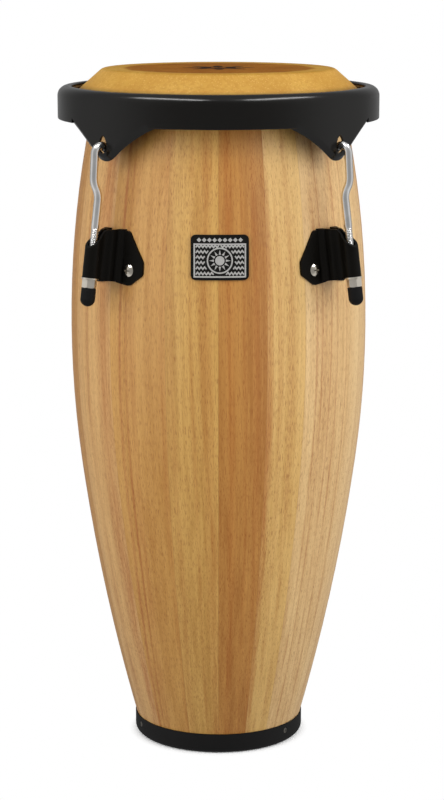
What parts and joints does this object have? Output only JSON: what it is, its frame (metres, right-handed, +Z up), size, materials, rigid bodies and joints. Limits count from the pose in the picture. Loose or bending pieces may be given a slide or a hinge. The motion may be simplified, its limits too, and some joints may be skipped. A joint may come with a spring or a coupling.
{
  "type": "conga drum",
  "caption": "Tall stave-built barrel hand drum with hide head, rounded black tuning rim, hooked tuning rods and a rubber foot ring.",
  "frame": {"origin": "centre of the rubber foot ring's underside, on the floor", "axes": "+Z up along the drum's axis; -Y towards the badge; the four tuning lugs stand at 45 degrees between X and Y"},
  "size_m": [0.332, 0.332, 0.711],
  "materials": {
    "wood": "clear satin lacquer over straight-grained pale hardwood",
    "hide": "golden rawhide, smooth and slightly waxy",
    "black_paint": "black powder coat, semi-gloss",
    "chrome": "bright plated rod",
    "zinc": "zinc plated steel",
    "hoop_steel": "plain steel rod",
    "rubber": "matt moulded rubber",
    "cap_rubber": "matt dipped rubber",
    "black_screw": "black oxide",
    "badge": "black enamel with bright raised lines",
    "adhesive": "thin foam adhesive pad"
  },
  "bodies": {
    "shell": {"stave_01": "wood", "stave_02": "wood", "stave_03": "wood", "stave_04": "wood", "stave_05": "wood", "stave_06": "wood", "stave_07": "wood", "stave_08": "wood", "stave_09": "wood", "stave_10": "wood", "stave_11": "wood", "stave_12": "wood", "stave_13": "wood", "stave_14": "wood", "stave_15": "wood", "stave_16": "wood", "stave_17": "wood", "stave_18": "wood", "drumhead": "hide", "base_ring": "rubber", "base_screws": "black_screw", "bracket_bolts": "zinc", "bolt_washers": "zinc", "bolt_nuts": "zinc", "badge_plate": "badge", "badge_pad": "adhesive", "bracket_1": "black_paint", "bracket_2": "black_paint", "bracket_3": "black_paint", "bracket_4": "black_paint", "lug_washer_1": "zinc", "lug_washer_2": "zinc", "lug_washer_3": "zinc", "lug_washer_4": "zinc"},
    "rim_assembly": {"rim": "black_paint", "flesh_hoop": "hoop_steel"},
    "hook_1": {"hook_1": "chrome", "rod_cap_1": "cap_rubber"},
    "nut_1": {"lug_nut_1": "zinc"},
    "hook_2": {"hook_2": "chrome", "rod_cap_2": "cap_rubber"},
    "nut_2": {"lug_nut_2": "zinc"},
    "hook_3": {"hook_3": "chrome", "rod_cap_3": "cap_rubber"},
    "nut_3": {"lug_nut_3": "zinc"},
    "hook_4": {"hook_4": "chrome", "rod_cap_4": "cap_rubber"},
    "nut_4": {"lug_nut_4": "zinc"}
  },
  "joints": [
    {"name": "rim_tuning", "type": "slide", "parent": "shell", "child": "rim_assembly", "axis": [0, 0, -1], "range_m": [0, 0.005], "deforming": ["drumhead"]},
    {"name": "hook_1_travel", "type": "slide", "parent": "shell", "child": "hook_1", "axis": [0.1106, -0.1106, -0.9877], "range_m": [0, 0.0046]},
    {"name": "nut_1_turn", "type": "hinge", "parent": "shell", "child": "nut_1", "pos_m": [0.13152, -0.13152, 0.506], "axis": [-0.1106, 0.1106, 0.9877], "range_deg": [0, 1310]},
    {"name": "hook_2_travel", "type": "slide", "parent": "shell", "child": "hook_2", "axis": [0.1106, 0.1106, -0.9877], "range_m": [0, 0.0046]},
    {"name": "nut_2_turn", "type": "hinge", "parent": "shell", "child": "nut_2", "pos_m": [0.13152, 0.13152, 0.506], "axis": [-0.1106, -0.1106, 0.9877], "range_deg": [0, 1310]},
    {"name": "hook_3_travel", "type": "slide", "parent": "shell", "child": "hook_3", "axis": [-0.1106, 0.1106, -0.9877], "range_m": [0, 0.0046]},
    {"name": "nut_3_turn", "type": "hinge", "parent": "shell", "child": "nut_3", "pos_m": [-0.13152, 0.13152, 0.506], "axis": [0.1106, -0.1106, 0.9877], "range_deg": [0, 1310]},
    {"name": "hook_4_travel", "type": "slide", "parent": "shell", "child": "hook_4", "axis": [-0.1106, -0.1106, -0.9877], "range_m": [0, 0.0046]},
    {"name": "nut_4_turn", "type": "hinge", "parent": "shell", "child": "nut_4", "pos_m": [-0.13152, -0.13152, 0.506], "axis": [0.1106, 0.1106, 0.9877], "range_deg": [0, 1310]}
  ],
  "couplings": [
    {"joint": "hook_1_travel", "follows": "rim_tuning", "ratio": 0.89369},
    {"joint": "nut_1_turn", "follows": "rim_tuning", "rad_per_m": 4492.2},
    {"joint": "hook_2_travel", "follows": "rim_tuning", "ratio": 0.89369},
    {"joint": "nut_2_turn", "follows": "rim_tuning", "rad_per_m": 4492.2},
    {"joint": "hook_3_travel", "follows": "rim_tuning", "ratio": 0.89369},
    {"joint": "nut_3_turn", "follows": "rim_tuning", "rad_per_m": 4492.2},
    {"joint": "hook_4_travel", "follows": "rim_tuning", "ratio": 0.89369},
    {"joint": "nut_4_turn", "follows": "rim_tuning", "rad_per_m": 4492.2}
  ]
}
